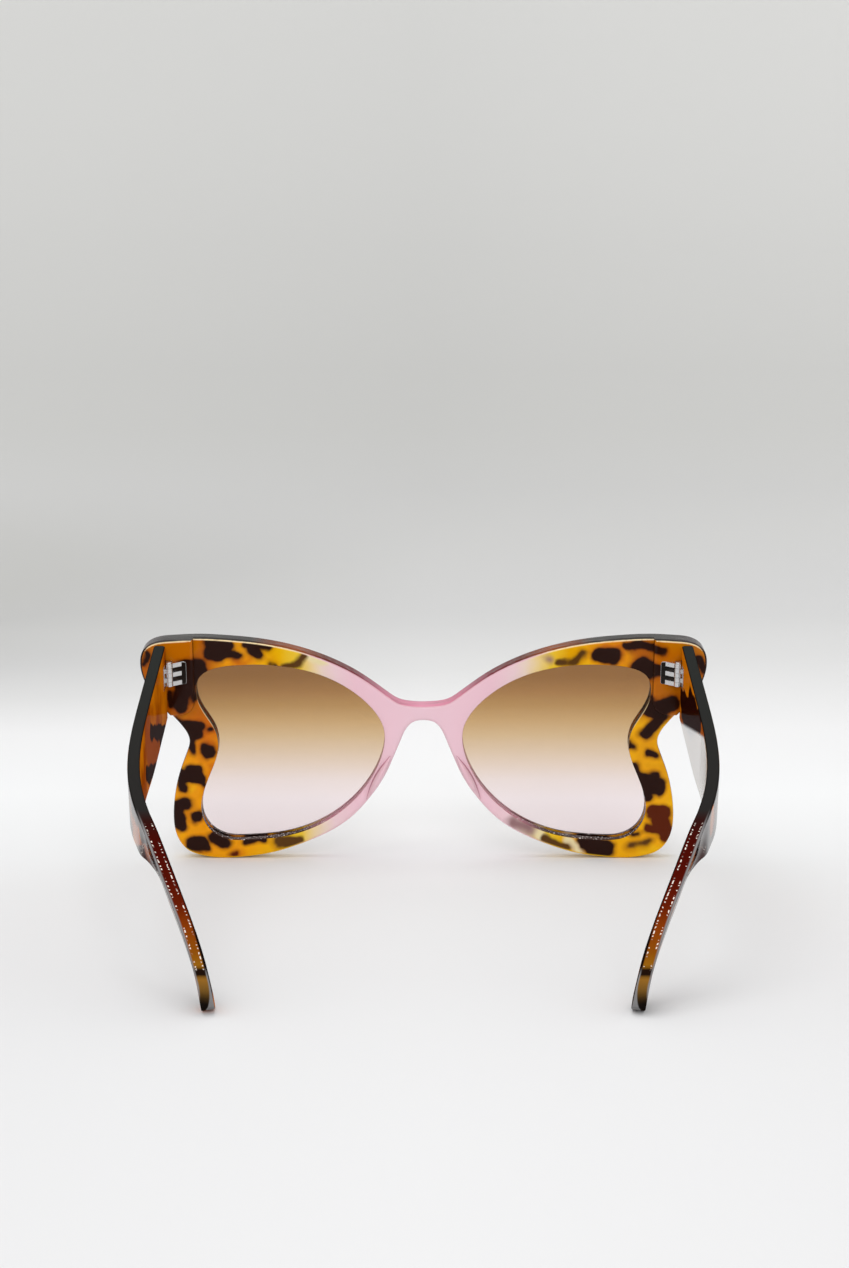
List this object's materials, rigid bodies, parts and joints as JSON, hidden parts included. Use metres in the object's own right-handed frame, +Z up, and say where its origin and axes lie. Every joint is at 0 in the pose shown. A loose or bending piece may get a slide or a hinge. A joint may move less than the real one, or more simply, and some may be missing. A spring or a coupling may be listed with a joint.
{
  "type": "sunglasses",
  "caption": "Butterfly-shaped acetate sunglasses with a tortoise-to-pink front, gradient lenses, deep folding temples on barrel hinges and curved ear tips.",
  "frame": {"origin": "on the surface that the sunglasses stand on, under the middle of their width and of their whole depth", "axes": "+X to the wearer's right, +Y the way the lenses look, +Z up, with the glasses standing open on their rims and ear tips"},
  "size_m": [0.1504, 0.137, 0.0628],
  "materials": {
    "front_acetate": "polished tortoise acetate that fades to pink at the bridge",
    "temple_acetate": "polished tortoise acetate",
    "pad_acetate": "polished pink acetate",
    "gradient_lens": "polished, graded from brown at the top to pale pink below",
    "hinge_metal": "polished silver plating",
    "core_metal": "drawn wire"
  },
  "bodies": {
    "root": {"front_frame": "front_acetate", "left_lens": "gradient_lens", "right_lens": "gradient_lens", "left_nose_pad": "pad_acetate", "right_nose_pad": "pad_acetate", "left_front_hinge_leaf": "hinge_metal", "right_front_hinge_leaf": "hinge_metal", "left_hinge_screw": "hinge_metal", "right_hinge_screw": "hinge_metal"},
    "left_arm": {"left_temple": "temple_acetate", "left_temple_hinge_leaf": "hinge_metal", "left_core_wire": "core_metal"},
    "right_arm": {"right_temple": "temple_acetate", "right_temple_hinge_leaf": "hinge_metal", "right_core_wire": "core_metal"}
  },
  "joints": [
    {"name": "left_temple_fold", "type": "hinge", "parent": "root", "child": "left_arm", "pos_m": [-0.0675, 0.05368, 0.05275], "axis": [0, -0.1305, 0.9914], "range_deg": [0, 80]},
    {"name": "right_temple_fold", "type": "hinge", "parent": "root", "child": "right_arm", "pos_m": [0.0675, 0.05368, 0.05275], "axis": [0, 0.1305, -0.9914], "range_deg": [0, 68]}
  ]
}
